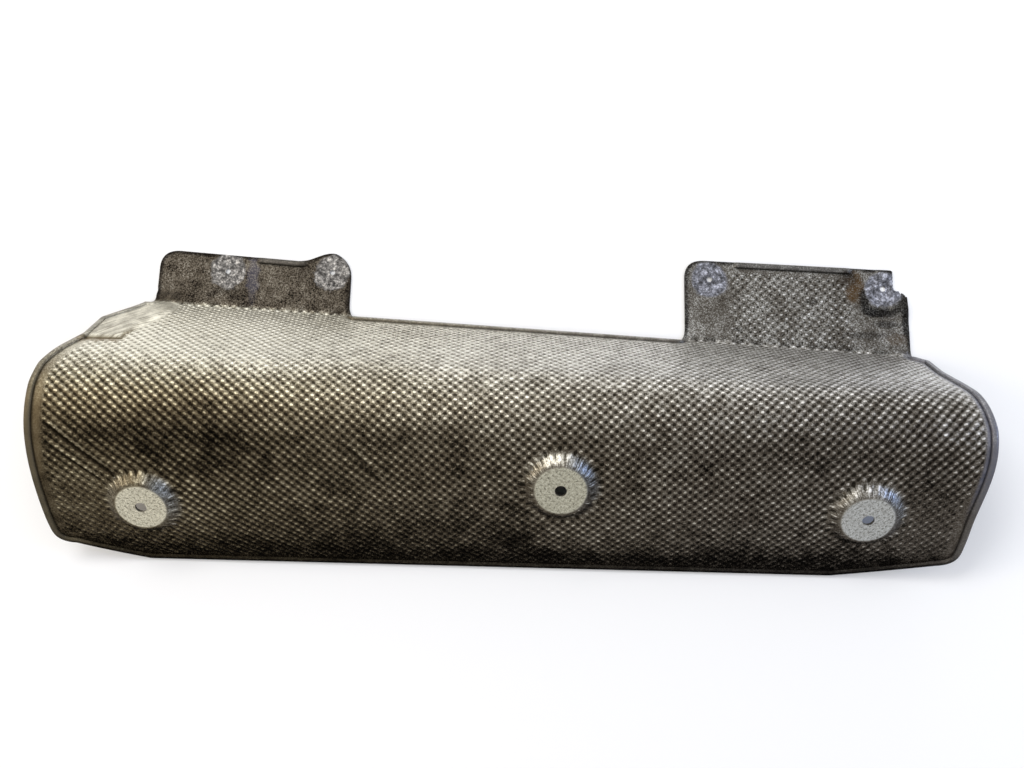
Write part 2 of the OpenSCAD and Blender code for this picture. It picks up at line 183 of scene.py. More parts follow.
# Creases: from (x, s) to (x, s), width and strength; and dents: place, reach along and up, strength
CREASES = ((-0.287, 0.112, -0.243, 0.077, 0.0014, 1.0), (-0.290, 0.101, -0.252, 0.073, 0.0012, 0.7),
           (-0.098, 0.103, -0.074, 0.075, 0.0016, 0.5))
DENTS = ((-0.070, 0.072, 0.012, 0.006, 0.8), (-0.050, 0.098, 0.030, 0.012, 0.7),
         (-0.180, 0.086, 0.030, 0.014, 0.6), (0.120, 0.110, 0.035, 0.014, 0.6),
         (0.180, 0.170, 0.030, 0.020, 0.5), (-0.150, 0.190, 0.012, 0.025, 0.6))

# The smooth facet at the left end, beside the tab, as (x, s), and the way that its grain runs
FACET = ((-0.300, 0.182), (-0.2556, 0.1835), (-0.2560, 0.190), (-0.2385, 0.228),
         (-0.237, 0.250), (-0.300, 0.256))
FACET_TURN = math.radians(56)

# Depths of the creases and dents, the roughness of the torn corner, and the swelling of the crust
CREASE_DEPTH, DENT_DEPTH, TORN_HEIGHT, CRUST_SWELL = 0.0009, 0.0013, 0.0034, 0.0008

# How strongly a painted highlight lies on each pad's skirt, and the cast of each pad's own metal, with
# painted warm light on the left pad and painted cool light on the right one
SKIRT_HIGHLIGHT = (0.35, 0.95, 0.80)
PAD_TINTS = ("#FAFAF6", "#DBDDDA", "#D6DDEE")

# Lamps: name, setting of the power, size, place, the point they face, and colour
LAMPS = (
    ("key_softbox", "key_power", (0.9, 0.5), (-0.55, 0.75, 1.5), (0, 0, 0), "#FFFFFF"),
    ("rear_softbox", "rear_power", (1.6, 0.35), (0.0, 1.5, 0.45), (0, 0.1, 0.03), "#FFFFFF"),
    ("left_softbox", "side_power", (0.5, 0.5), (-1.5, 0.1, 0.9), (0, 0, 0), "#FFEBD0"),
    ("right_softbox", "side_power", (0.5, 0.5), (1.5, 0.1, 0.8), (0, 0, 0), "#A9C6FF"),
)

# How bright the surroundings are for the part, and where the camera or a reflection sees them
WORLD_STRENGTH, SEEN_STRENGTH = 0.80, 1.0

# The camera: elevation, azimuth and roll in degrees, its place, and its lens in millimetres
CAMERA_ANGLES = (78.56, 11.549, -10.279)
CAMERA_PLACE = (0.02867, -0.11106, 0.6413)
CAMERA_LENS = 32.913


def srgb(code):
    """A colour written as an sRGB hex value, as linear numbers."""
    parts = [int(code[k:k + 2], 16) / 255 for k in (1, 3, 5)]
    return tuple(c / 12.92 if c <= 0.04045 else ((c + 0.055) / 1.055) ** 2.4 for c in parts)


# The form of the sheet

def ease(v):
    c = np.clip(v, 0.0, 1.0)
    return c * c * (3 - 2 * c)


def section(x):
    """Slopes (radians) and lengths of the section at the places x along the shield."""
    t = (x + HALF_LENGTH) / (2 * HALF_LENGTH)
    v = {k: LEFT_SECTION[k] + (RIGHT_SECTION[k] - LEFT_SECTION[k]) * t for k in LEFT_SECTION}
    front, shoulder, rear = (np.radians(v[k]) for k in ("front_slope", "shoulder", "rear_slope"))
    front_r = v["front_run"] / (front - shoulder)
    crown_run = v["crown_r"] * (shoulder + rear)
    crown_y = front_r * (np.sin(front) - np.sin(shoulder))
    crown_z = HALF_T * np.cos(front) + front_r * (np.cos(shoulder) - np.cos(front))
    wall_y = crown_y + v["crown_r"] * (np.sin(shoulder) + np.sin(rear))
    wall_z = crown_z + v["crown_r"] * (np.cos(rear) - np.cos(shoulder))
    wall_run = (wall_z - HALF_T) / np.sin(rear) - FOLD_R * np.tan(rear / 2)
    v.update(front=front, shoulder=shoulder, rear=rear, front_r=front_r, crown_run=crown_run,
             crown_y=crown_y, crown_z=crown_z, wall_y=wall_y, wall_z=wall_z, fold_run=FOLD_R * rear,
             run=v["front_run"] + crown_run + wall_run,
             fold_y=wall_y + wall_run * np.cos(rear) + FOLD_R * np.sin(rear))
    return v


def sheet_place(x, s):
    """Points in the middle of the sheet, and its slope, at x along it and s up from its front edge."""
    v = section(x)
    front_z = HALF_T * np.cos(v["front"])
    on_front = v["front"] - s / v["front_r"]
    on_crown = v["shoulder"] - (s - v["front_run"]) / v["crown_r"]
    over = s - v["front_run"] - v["crown_run"]
    past = s - v["run"]
    on_fold = -v["rear"] + past / FOLD_R
    where = [past > v["fold_run"], past > 0, over > 0, s > v["front_run"]]
    slope = np.select(where, [0 * x, on_fold, -v["rear"], on_crown], on_front)
    y = np.select(where, [
        v["fold_y"] + past - v["fold_run"],
        v["fold_y"] + FOLD_R * np.sin(on_fold),
        v["wall_y"] + over * np.cos(v["rear"]),
        v["crown_y"] + v["crown_r"] * (np.sin(v["shoulder"]) - np.sin(on_crown)),
    ], v["front_r"] * (np.sin(v["front"]) - np.sin(on_front)))
    z = np.select(where, [
        HALF_T + 0 * x,
        HALF_T + FOLD_R * (1 - np.cos(on_fold)),
        v["wall_z"] - over * np.sin(v["rear"]),
        v["crown_z"] + v["crown_r"] * (np.cos(on_crown) - np.cos(v["shoulder"])),
    ], front_z + v["front_r"] * (np.cos(on_front) - np.cos(v["front"])))
    return np.stack([x, y - MID_Y, z], 1), slope


def out_of(slope):
    return np.stack([0 * slope, -np.sin(slope), np.cos(slope)], 1)


def on_tab(x, y):
    """How far up the sheet a place on a tab lies, from its distance y to the front edge."""
    v = section(x)
    return v["run"] + v["fold_run"] + y - v["fold_y"]


# The outline of the sheet, drawn flat

def along(start, end, step=BOUNDARY_STEP):
    return np.linspace(start, end, max(3, int(abs(end - start) / step) + 1))


def lower_rise(x):
    left = LEFT_CUT[1] * np.clip(1 - (x + HALF_LENGTH - CORNER_R) / LEFT_CUT[0], 0, 1)
    right = RIGHT_CUT[1] * np.clip(1 - (HALF_LENGTH - CORNER_R - x) / RIGHT_CUT[0], 0, 1)
    return np.where(x < 0, left, right)


def end_edge(side, s):
    """The trimmed left (-1) or right (+1) end of the sheet, at the heights s."""
    x = np.full_like(s, side * HALF_LENGTH)
    for _ in range(4):
        v = section(x)
        lean = ease(2 - 2 * s / v["front_run"])
        rest = v["run"] - s
        if side < 0:
            cut = LEFT_LEAN * lean + LEFT_RAKE * np.interp(rest / LEFT_RAKE_RUN, *LEFT_RAKE_CURVE)
        else:
            cut = RIGHT_LEAN * lean + RIGHT_RAKE * np.interp(rest / RIGHT_RAKE_RUN, *RIGHT_RAKE_CURVE)
        x = side * (HALF_LENGTH - cut)
    return np.stack([x, s], 1)


def tab_rear(x, left):
    """The rear edge of the left or right tab, as distances from the front edge."""
    tab, slant, reach = ((LEFT_TAB, LEFT_SLANT, LEFT_TAB_REACH) if left
                         else (RIGHT_TAB, RIGHT_SLANT, RIGHT_TAB_REACH))
    reach = reach - np.maximum(0, x - tab[0] - CORNER_R) * math.tan(math.radians(slant))
    ear = EAR_HEIGHT * ease(1 - np.abs(x - EAR_X) / EAR_RUN)
    return reach + ear if left else reach


def tab_line(x, y):
    return np.stack([x, on_tab(x, y)], 1)


def tab_side(x, start, end):
    """A side edge of a tab, at x, between two distances from the front edge."""
    y = along(start, end)
    return tab_line(np.full_like(y, x), y)


def walk(points):
    """Distance along a line at each of its points."""
    return np.concatenate([[0], np.cumsum(np.linalg.norm(np.diff(points, axis=0), axis=1))])


def trimmed(points, head, tail):
    """The line with a length cut off its head and its tail."""
    at = walk(points)
    new = np.linspace(head, at[-1] - tail, max(2, int((at[-1] - head - tail) / BOUNDARY_STEP) + 1))
    return np.stack([np.interp(new, at, points[:, k]) for k in (0, 1)], 1)


def outline():
    """The sheet's closed outline, counter-clockwise, with each corner rounded by its own radius."""
    bottom = 0.001
    x = along(-HALF_LENGTH + LEFT_LEAN, HALF_LENGTH - RIGHT_LEAN)
    front = np.stack([x, lower_rise(x)], 1)
    right_end = end_edge(1, along(lower_rise(HALF_LENGTH), section(RIGHT_TAB[1])["run"]))
    tear_y = tab_rear(RIGHT_TAB[1], False) - CORNER_R
    right_side = tab_side(RIGHT_TAB[1], section(RIGHT_TAB[1])["fold_y"], tear_y - TEAR_FALL)
    tear_x = along(RIGHT_TAB[1], RIGHT_TAB[1] - TEAR_LENGTH, 0.0008)
    fall = TEAR_FALL * (1 - (RIGHT_TAB[1] - tear_x) / TEAR_LENGTH)
    tear = tab_line(tear_x, tear_y - fall + 0.0010 * np.sin(tear_x * 1900) + 0.0008 * np.sin(tear_x * 4100))
    y = along(tear_y, tab_rear(RIGHT_TAB[1] - TEAR_LENGTH, False), 0.0008)
    tear_side = tab_line(RIGHT_TAB[1] - TEAR_LENGTH + 0.0005 * np.sin(y * 2700), y)
    x = along(RIGHT_TAB[1] - TEAR_LENGTH, RIGHT_TAB[0])
    right_rear = tab_line(x, tab_rear(x, False))
    right_inner = tab_side(RIGHT_TAB[0], RIGHT_TAB_REACH, section(RIGHT_TAB[0])["fold_y"])
    x = along(RIGHT_TAB[0], LEFT_TAB[1])
    rear = np.stack([x, section(x)["run"]], 1)
    left_inner = tab_side(LEFT_TAB[1], section(LEFT_TAB[1])["fold_y"], tab_rear(LEFT_TAB[1], True))
    x = along(LEFT_TAB[1], LEFT_TAB[0])
    left_rear = tab_line(x, tab_rear(x, True))
    left_side = tab_side(LEFT_TAB[0], LEFT_TAB_REACH, section(LEFT_TAB[0])["fold_y"])
    x = along(LEFT_TAB[0], -HALF_LENGTH + LEFT_RAKE)
    left_shoulder = np.stack([x, section(x)["run"]], 1)
    left_end = end_edge(-1, along(left_shoulder[-1, 1], lower_rise(-HALF_LENGTH)))
    edges = [(front, CORNER_R), (right_end, bottom), (right_side, bottom), (tear, bottom),
             (tear_side, bottom), (right_rear, CORNER_R), (right_inner, FOOT_FLARE),
             (rear, FOOT_FLARE), (left_inner, CORNER_R), (left_rear, CORNER_R),
             (left_side, 0.003), (left_shoulder, 0.002), (left_end, CORNER_R)]
    line = []
    for k, (edge, tail) in enumerate(edges):
        following = edges[(k + 1) % len(edges)][0]
        here = trimmed(edge, edges[k - 1][1], tail)
        line.append(here)
        after = trimmed(following, tail, 0)[0]
        corner = (edge[-1] + following[0]) / 2
        t = np.linspace(0, 1, max(3, int(1.6 * tail / BOUNDARY_STEP) + 2))[1:-1, None]
        line.append((1 - t) ** 2 * here[-1] + 2 * t * (1 - t) * corner + t ** 2 * after)
    closed = np.concatenate(line + [line[0][:1]])
    at = walk(closed)
    new = np.linspace(0, at[-1], int(at[-1] / BOUNDARY_STEP), endpoint=False)
    return np.stack([np.interp(new, at, closed[:, k]) for k in (0, 1)], 1)


def ring(centre, radius, count):
    a = np.linspace(0, 2 * math.pi, count, endpoint=False)
    return centre + radius * np.stack([np.cos(a), -np.sin(a)], 1)


def tab_ring(hole, radius, count):
    around = ring(np.array(hole), radius, count)
    return tab_line(around[:, 0], around[:, 1])


def search_tree(points):
    tree = KDTree(len(points))
    for k, p in enumerate(points):
        tree.insert((p[0], p[1], 0), k)
    tree.balance()
    return tree


def distance_to(points, loop):
    """Distance from each point to a closed line, by way of the line's nearest corner."""
    tree = search_tree(loop)
    near = np.array([tree.find((x, y, 0))[1] for x, y in points])
    best = np.full(len(points), 1e9)
    for step in (-1, 0):
        a, b = loop[(near + step) % len(loop)], loop[(near + step + 1) % len(loop)]
        ab = b - a
        t = np.clip(((points - a) * ab).sum(1) / np.maximum((ab ** 2).sum(1), 1e-18), 0, 1)
        best = np.minimum(best, np.linalg.norm(a + t[:, None] * ab - points, axis=1))
    return best


def inside(points, loop):
    """Which points lie inside a closed line."""
    hit = np.zeros(len(points), bool)
    x, y = points.T
    for a, b in zip(loop, np.roll(loop, -1, 0)):
        if a[1] != b[1]:
            crosses = (a[1] > y) != (b[1] > y)
            hit ^= crosses & (x < (b[0] - a[0]) * (y - a[1]) / (b[1] - a[1]) + a[0])
    return hit


def inset(loop, depth):
    """The closed line moved inwards, without the points that come too near another stretch of it."""
    run = np.roll(loop, -1, 0) - np.roll(loop, 1, 0)
    run /= np.linalg.norm(run, axis=1)[:, None]
    moved = loop + depth * np.stack([-run[:, 1], run[:, 0]], 1)
    return moved[(distance_to(moved, loop) > 0.96 * depth) & inside(moved, loop)]


def triangles(points, loops, edge_loop, hole_loops):
    """Triangles over the flat sheet, between its outline and its holes."""
    edges = []
    for first, count in loops:
        edges += [(first + k, first + (k + 1) % count) for k in range(count)]
    made = delaunay_2d_cdt([Vector(p) for p in points], edges, [], 1, 1e-7, True)
    origin = [ids[0] for ids in made[3]]
    faces = np.array([[origin[k] for k in f] for f in made[2]])
    middle = points[faces].mean(1)
    keep = inside(middle, edge_loop)
    for hole in hole_loops:
        keep &= ~inside(middle, hole)
    return faces[keep]


def as_stored(points):
    """The points rounded as the mesh tools store them, so that every test sees the same sheet."""
    return points.astype(np.float32).astype(float)


# The look of the surface, place by place

def drawn(x, s):
    """Where on its own flat grid the pattern lies, round the pads that the sheet was drawn up into."""
    reach = PAD_R + DRAWN_REACH
    for px, ps in PADS:
        r = np.maximum(np.hypot(x - px, s - ps), 1e-6)
        own = np.interp(r, [0, PAD_R, reach, 1], [0, PAD_R + DRAWN_REACH * (1 - 1 / DRAWN_STRETCH), reach, 1])
        x, s = px + (x - px) * own / r, ps + (s - ps) * own / r
    return x, s + closed_up(x, s)


def closed_up(x, s):
    """How far the pattern's rows have closed up, from the start of the rear wall to the fold at its foot."""
    into = np.clip(s - section(x)["run"] + CLOSING_REACH, 0, CLOSING_REACH)
    return CLOSING * into ** 2 / (2 * CLOSING_REACH)


def pattern(x, s):
    """The embossed pattern's height, from -1 in a pit to 1 where two ridges cross.

    Of its two sets of slanting ridges, one stands out at the left and the other at the right."""
    c, n = math.cos(PATTERN_TURN), math.sin(PATTERN_TURN)
    a, b = (c * x + n * s) / PITCH_ALONG, (-n * x + c * s) / PITCH_UP
    lean = RIDGE_LEAN * np.clip((x - RIDGE_MIDDLE) / RIDGE_REACH, -1, 1)
    lean = lean * np.interp(s, [EVEN_FROM, EVEN_TO], [1, EVEN_SHARE])
    falling = ((1 + np.cos(2 * math.pi * (a + b))) / 2) ** RIDGE_SHARPNESS
    rising = ((1 + np.cos(2 * math.pi * (a - b))) / 2) ** RIDGE_SHARPNESS
    return falling * (1 - lean) + rising * (1 + lean) - 1


def pattern_points():
    """Points on a grid that is in step with the pattern, four to a pitch."""
    c, n = math.cos(PATTERN_TURN), math.sin(PATTERN_TURN)
    i, j = np.meshgrid(np.arange(-220, 221), np.arange(-40, 250), indexing="ij")
    a, b = i.ravel() * PITCH_ALONG / 4, j.ravel() * PITCH_UP / 4
    x, level = c * a - n * b, n * a + c * b
    s = level
    for _ in range(24):
        s = level - closed_up(x, s)
    return np.stack([x, s], 1)


def smooth_noise(x, s, size, seed):
    """Soft random values from 0 to 1, with blots of about that size."""
    rng = np.random.default_rng(seed)
    grid = rng.random((int(0.8 / size) + 4, int(0.5 / size) + 4))
    u, v = (x + 0.35) / size, (s + 0.05) / size
    i, j = np.floor(u).astype(int), np.floor(v).astype(int)
    fu, fv = ease(u - i), ease(v - j)
    low = grid[i, j] * (1 - fu) + grid[i + 1, j] * fu
    high = grid[i, j + 1] * (1 - fu) + grid[i + 1, j + 1] * fu
    return low * (1 - fv) + high * fv


def clouds(x, s, size, seed):
    return sum(w * smooth_noise(x, s, size * f, seed + k)
               for k, (f, w) in enumerate([(1, 0.5), (0.5, 0.3), (0.25, 0.2)]))


def facet(x, s):
    """The unpatterned facet: how far a place lies inside its border, below 0 outside."""
    border = np.array(FACET)
    places = np.stack([x, s], 1)
    near = distance_to(places, border)
    return np.where(inside(places, border), near, -near)


def hem_strength(x, y, past):
    """Where the folded hem shows: all round the wall, but only on a stretch of each tab's rear edge."""
    on_wall = 1 - ease((past + 0.002) / 0.004)
    stretch = np.zeros_like(x)
    for start, end, reach in TAB_HEMS:
        stretch = np.maximum(stretch, ease((x - start) / 0.002) * ease((end - x) / 0.002) * (y > reach))
    return np.maximum(on_wall, stretch)


def crease_lines():
    """Each crease as its start, its direction, its length, its width and its strength."""
    for ax, ay, bx, by, width, strength in CREASES:
        length = math.hypot(bx - ax, by - ay)
        yield ax, ay, (bx - ax) / length, (by - ay) / length, length, width, strength


def crease(x, s):
    """Depth of the creases that were knocked into the sheet, 0 to 1, with a raised lip beside each."""
    depth = np.zeros_like(x)
    for ax, ay, ux, uy, length, width, strength in crease_lines():
        t = (x - ax) * ux + (s - ay) * uy
        off = ((x - ax) * -uy + (s - ay) * ux) / width
        fade = ease(t / 0.006) * ease((length - t) / 0.006)
        depth += strength * fade * (np.exp(-off ** 2) - 0.6 * np.exp(-(off - 2) ** 2))
    return depth


def crease_points():
    """Extra points along the creases, close enough to hold their form."""
    rows = []
    for ax, ay, ux, uy, length, width, _ in crease_lines():
        t = np.arange(0, length, 0.0011)
        for off in (-1.3, -0.6, 0.0, 0.6, 1.3, 2.0, 2.7):
            rows.append(np.stack([ax + ux * t - uy * off * width, ay + uy * t + ux * off * width], 1))
    return rows


def spots(x, s, rows):
    """Soft spots added together, each with its place, reach along and up, and strength."""
    return sum(strength * np.exp(-((x - at) / rx) ** 2 - ((s - up) / rs) ** 2)
               for at, up, rx, rs, strength in rows)


def border_width(x, share):
    """How far in from the outline the pattern starts: further in round the shoulder of the left end."""
    shoulder = ease((share - 0.28) / 0.14) * ease((0.82 - share) / 0.12)
    return 0.0058 + 0.0034 * shoulder * ease((-x - 0.25) / 0.03)


def surface(x, s, edge):
    """Masks of the outer face, from the flat place and the distance to the outline."""
    v = section(x)
    past = s - v["run"]
    y = past - v["fold_run"] + v["fold_y"]
    tab = ease(past / 0.006)
    pad, skirt, sideways, calm = np.zeros_like(x), np.zeros_like(x), np.zeros_like(x), np.ones_like(x)
    from_pad = np.stack([x, s, x], 1)
    for (px, ps), highlight in zip(PADS, SKIRT_HIGHLIGHT):
        r = np.maximum(np.hypot(x - px, s - ps), 1e-6)
        pad = np.maximum(pad, np.clip((PAD_R - 0.0002 - r) / 0.0010, 0, 1))
        # The skirt mask is a painted highlight: strongest on the uphill side of the ring round each pad,
        # where its slope faces the lights
        uphill = np.clip(0.58 + (0.50 * (s - ps) + 0.12 * (x - px)) / r, 0, 1.2)
        ringed = ease((r - PAD_R + 0.0015) / 0.0015) * ease((PAD_R + 0.0100 - r) / 0.0060)
        near = r < PAD_R + DRAWN_REACH + 0.004
        sideways = np.where(near, (x - px) / r, sideways)
        from_pad[near] = np.stack([x - px, s - ps, r], 1)[near]
        skirt = np.maximum(skirt, ringed * uphill * highlight)
        calm *= np.interp(r, [PAD_R - 0.001, PAD_R + 0.001, PAD_R + 0.008], [0.25, 0.5, 1.0])
    crust, bare = np.zeros_like(x), np.ones_like(x)
    for hx, hy in TAB_HOLES:
        r = np.hypot(x - hx, y - hy)
        ragged = CRUST_R + CRUST_RAGGED * (clouds(x, s, 0.007, 71) - 0.5)
        crust = np.maximum(crust, np.clip((ragged - r) / 0.0015, 0, 1))
        bare *= 1 - np.clip((0.0135 - r) / 0.002, 0, 1)
    hem = np.clip((0.0048 - edge) / 0.0008, 0, 1) * hem_strength(x, y, past) * bare
    depth = facet(x, s)
    flat = np.clip(1 + depth / 0.0012, 0, 1)
    fold = np.exp(-((np.abs(depth) - 0.0004) / 0.0011) ** 2)
    worn = 1 - 0.5 * np.clip(np.abs(crease(x, s)), 0, 1)
    corner = ease((np.abs(x) - 0.20) / 0.06) * ease((0.095 - s) / 0.03)
    raised = ease((edge - border_width(x, s / v["run"])) / (0.0030 + 0.0030 * corner)) * (1 - 0.35 * corner)
    rows = ease((x - 0.150) / 0.01) * ease((0.245 - x) / 0.01)
    raised *= calm * (1 - flat) * (1 - 0.9 * crust) * worn * (1 - (0.75 - 0.40 * rows) * tab)
    torn = ease((x - 0.245) / 0.02) * ease((y - 0.165) / 0.015)
    return {"tab": tab, "hem": hem, "pad": pad, "skirt": skirt, "sideways": sideways, "crust": crust,
            "flat": flat, "fold": fold, "lift": ease(depth / 0.004), "raised": raised, "back": y,
            "edge": edge, "share": s / v["run"], "past": past, "torn": torn, "from_pad": from_pad}


def hem_profile(edge):
    """Height of the folded hem above the middle of the sheet, across its width."""
    return np.interp(edge, [0, 0.0003, 0.0008, 0.0016, 0.0034, 0.0039, 0.0043, 0.0047, 0.0052],
                     np.array([0.2, 1.35, 1.88, 2.12, 2.08, 1.8, 0.0, 0.3, 0.55]) / 1000)


def vertex_normals(points, faces):
    a, b, c = (points[faces[:, k]] for k in range(3))
    across = np.cross(b - a, c - a)
    total = np.zeros_like(points)
    for k in range(3):
        np.add.at(total, faces[:, k], across)
    return total / np.maximum(np.linalg.norm(total, axis=1), 1e-12)[:, None]


def soil_and_shading_of(x, s, look, further):
    """Dirt and heat staining together with painted shade and painted reflection, from 0 for clean, brightly
    lit metal to 1 for caked dirt in shade.

    The value falls up the sheet: dirt from the front, with painted shade low on the front wall and painted
    reflection of the lights on the crown and rear wall. It also rises wherever a place faces further forwards
    (degrees) than the sheet around it, and falls where it faces back: painted shade on the forward flanks and
    painted highlights on the upper flanks of the pattern and the dents."""
    share, tab = look["share"], look["tab"]
    soil = np.interp(share, *SOIL_AND_SHADING_BY_SHARE) + np.clip(0.011 * further, -0.30, 0.30)
    rear = ease((share - 0.5) / 0.15)
    to_right, to_left = ease((x + 0.02) / 0.25), ease((-0.08 - x) / 0.10)
    soil += rear * (0.08 * to_right - 0.08 * to_left) + (1 - rear) * 0.03 * to_left
    soil += (0.18 - 0.07 * rear) * (clouds(x, s, 0.045, 11) - 0.5)
    soil += (1 - 0.7 * rear) * 0.50 * np.clip(clouds(x, s, 0.014, 31) - 0.58, 0, 1)
    # The creases come out darker in their grooves and lighter on their lips: painted shade and painted
    # highlight
    soil += spots(x, s, WALL_STAINS) + 0.35 * np.clip(crease(x, s), -1, 1)
    soil -= 0.10 * ease((x - 0.278) / 0.01)
    # Round the left pad the skirt's painted highlight is lightened away from its top, most on its right side
    aside, above, away = look["from_pad"].T
    climb = np.clip((above - 0.4 * aside) / away, 0, 1)
    soil -= np.where(x < -0.15, 0.70 * (1 - climb), 0.0) * look["skirt"]
    # Along the facet's fold the sheet is darker at its lower edge and lighter elsewhere: painted shade and
    # painted highlight
    lower = ease((0.200 - s) / 0.008)
    facet_soil = FACET_SOIL + look["fold"] * (0.45 * lower - FACET_SOIL * (1 - lower))
    soil = soil * (1 - look["flat"]) + look["flat"] * facet_soil
    tab_soil = np.where(x < 0, *TAB_SOIL) + 0.30 * (clouds(x, s, 0.02, 23) - 0.5)
    return np.clip(soil * (1 - tab) + tab * tab_soil, 0, 1)


def mixed(base, code, share):
    """A layer of colour over others, as thick as its share."""
    return base + (np.array(srgb(code)) - base) * share[:, None]


def cover_of(x, s, look):
    """Colour that lies over the stained metal, with how thickly it lies as its fourth value; some of its
    layers are painted shade and painted light.
    """
    uneven, ragged = smooth_noise(x, s, 0.004, 61), clouds(x, s, 0.006, 67)
    edge, tab, bare = look["edge"], look["tab"], 1 - look["crust"]
    # The open edge of the hem, the dark rim of the tabs, and the brown lower border of the facet
    seam = look["hem"] * np.interp(edge, [0.0039, 0.0043, 0.0047], [0, 1, 0])
    rim = np.clip((0.0027 - edge) / 0.0010, 0, 1) * tab * (1 - look["hem"])
    lower = ease((0.03 - s) / 0.02)
    facet_edge = s - 0.1805 - 0.003 * (ragged - 0.5)
    brown = np.exp(-(facet_edge / 0.0024) ** 2) * ease((-0.2545 - x) / 0.003)
    fold_line = np.exp(-((look["past"] - 0.0035) / 0.0022) ** 2) * (np.abs(x) < 0.29)
    border = ease((border_width(x, look["share"]) + 0.002 - edge) / 0.003)
    ends = (1 - tab) * border * ease((np.abs(x) - 0.26) / 0.02)
    layers = [
        # The plain borders at the ends: painted warm light on the brown-grey left one and painted cool light
        # on the right one
        (0.35 * ends * ease(-x / 0.1) * (1 - look["flat"]) * ease((look["share"] - 0.20) / 0.2), "#7B6F5D"),
        (0.45 * ends * ease(x / 0.1) * ease((look["share"] - 0.25) / 0.2), "#9AA0B4"),
        (0.60 * look["hem"] * (1 - lower), "#5D5A55"),
        # Low on the front wall the hem is near black: painted shade where it turns under, over road dirt
        (0.90 * look["hem"] * lower, "#100F0D"),
        (0.85 * brown * (0.3 + 1.1 * uneven), "#6B5638"),
        # Near black along the crease grooves: painted shade
        (0.85 * np.clip(crease(x, s), 0, 1), "#1B1712"),
        (0.80 * fold_line * ease((uneven - 0.42) / 0.15), "#16130F"),
        (0.85 * seam, "#12100E"),
        (0.90 * rim * (0.5 + uneven), "#16120F"),
        (0.80 * np.clip((0.0008 - edge) / 0.0005, 0, 1), "#12100E"),
    ]
    for sx, sy, rx, ry, strength, code in TAB_STAINS_AND_SHADE:
        far = ((x - sx) / rx) ** 2 + ((look["back"] - sy) / ry) ** 2
        layers.append((strength * bare * tab * ease((1.35 - far - 1.5 * (ragged - 0.35)) / 0.9), code))
    colour, thick = np.zeros((len(x), 3)), np.zeros(len(x))
    for mask, code in layers:
        mask = np.clip(mask, 0, 1)
        colour = mixed(colour, code, mask)
        thick = thick + (1 - thick) * mask
    return np.concatenate([colour / np.maximum(thick, 1e-6)[:, None], thick[:, None]], 1)


def tint_of(x, look):
    """The cast of the metal: warmer where it is dirtier, with painted cool light towards the right end, on
    the right tab, the right pad, the crusts on the right and the right of each skirt, and painted warm light
    on the left pad, the left crusts and the left of each skirt.
    """
    skirt = np.clip(look["skirt"] * np.where(x < -0.15, 2.4, 1.0), 0, 1)
    layers = [
        ("#FCF4DC", ease(look["soil"] / 0.6)),
        ("#F3F5FF", ease((x + 0.26) / 0.52)),
        ("#F4F4F6", look["tab"] * (x < 0)),
        ("#EBEFFA", look["tab"] * (x > 0)),
        ("#C8D9FB", skirt * np.clip(1.6 * look["sideways"] - 0.15, 0, 0.95)),
        ("#FDFBF4", 0.8 * skirt * np.clip(-1.4 * look["sideways"] - 0.2, 0, 1)),
    ]
    layers += [(code, look["pad"] * (np.abs(x - at) < 0.03)) for (at, _), code in zip(PADS, PAD_TINTS)]
    layers += [("#FFFBF3", look["crust"] * (x < 0)), ("#EDF1FF", look["crust"] * (x > 0))]
    tint = np.ones((len(x), 3)) * srgb("#FFFEFA")
    for code, share in layers:
        tint = mixed(tint, code, share)
    return np.concatenate([tint, np.ones((len(x), 1))], 1)


def pad_lift(points, x, s, out):
    """The sheet drawn up into its three flat round pads."""
    points, out = points.copy(), out.copy()
    for px, ps in PADS:
        place, own = sheet_place(np.array([px]), np.array([ps]))
        up = out_of(own)[0]
        top = place[0] + PAD_HEIGHT * up
        r = np.hypot(x - px, s - ps)
        w = ease((PAD_R + PAD_SKIRT - r) / PAD_SKIRT)[:, None]
        points += w * ((top - points) @ up)[:, None] * up
        out = out * (1 - w) + w * up
        out /= np.linalg.norm(out, axis=1)[:, None]
    return points, out


def near_tab_hole(points):
    near = np.zeros(len(points), bool)
    for hole in TAB_HOLES:
        near |= np.linalg.norm(points - tab_line(*np.array([hole]).T)[0], axis=1) < CRUST_REACH
    return near


def apart(points, others, gap):
    """The points that lie at least the gap away from every one of the others."""
    tree = search_tree(others)
    return points[[tree.find((x, y, 0))[2] > gap for x, y in points]]


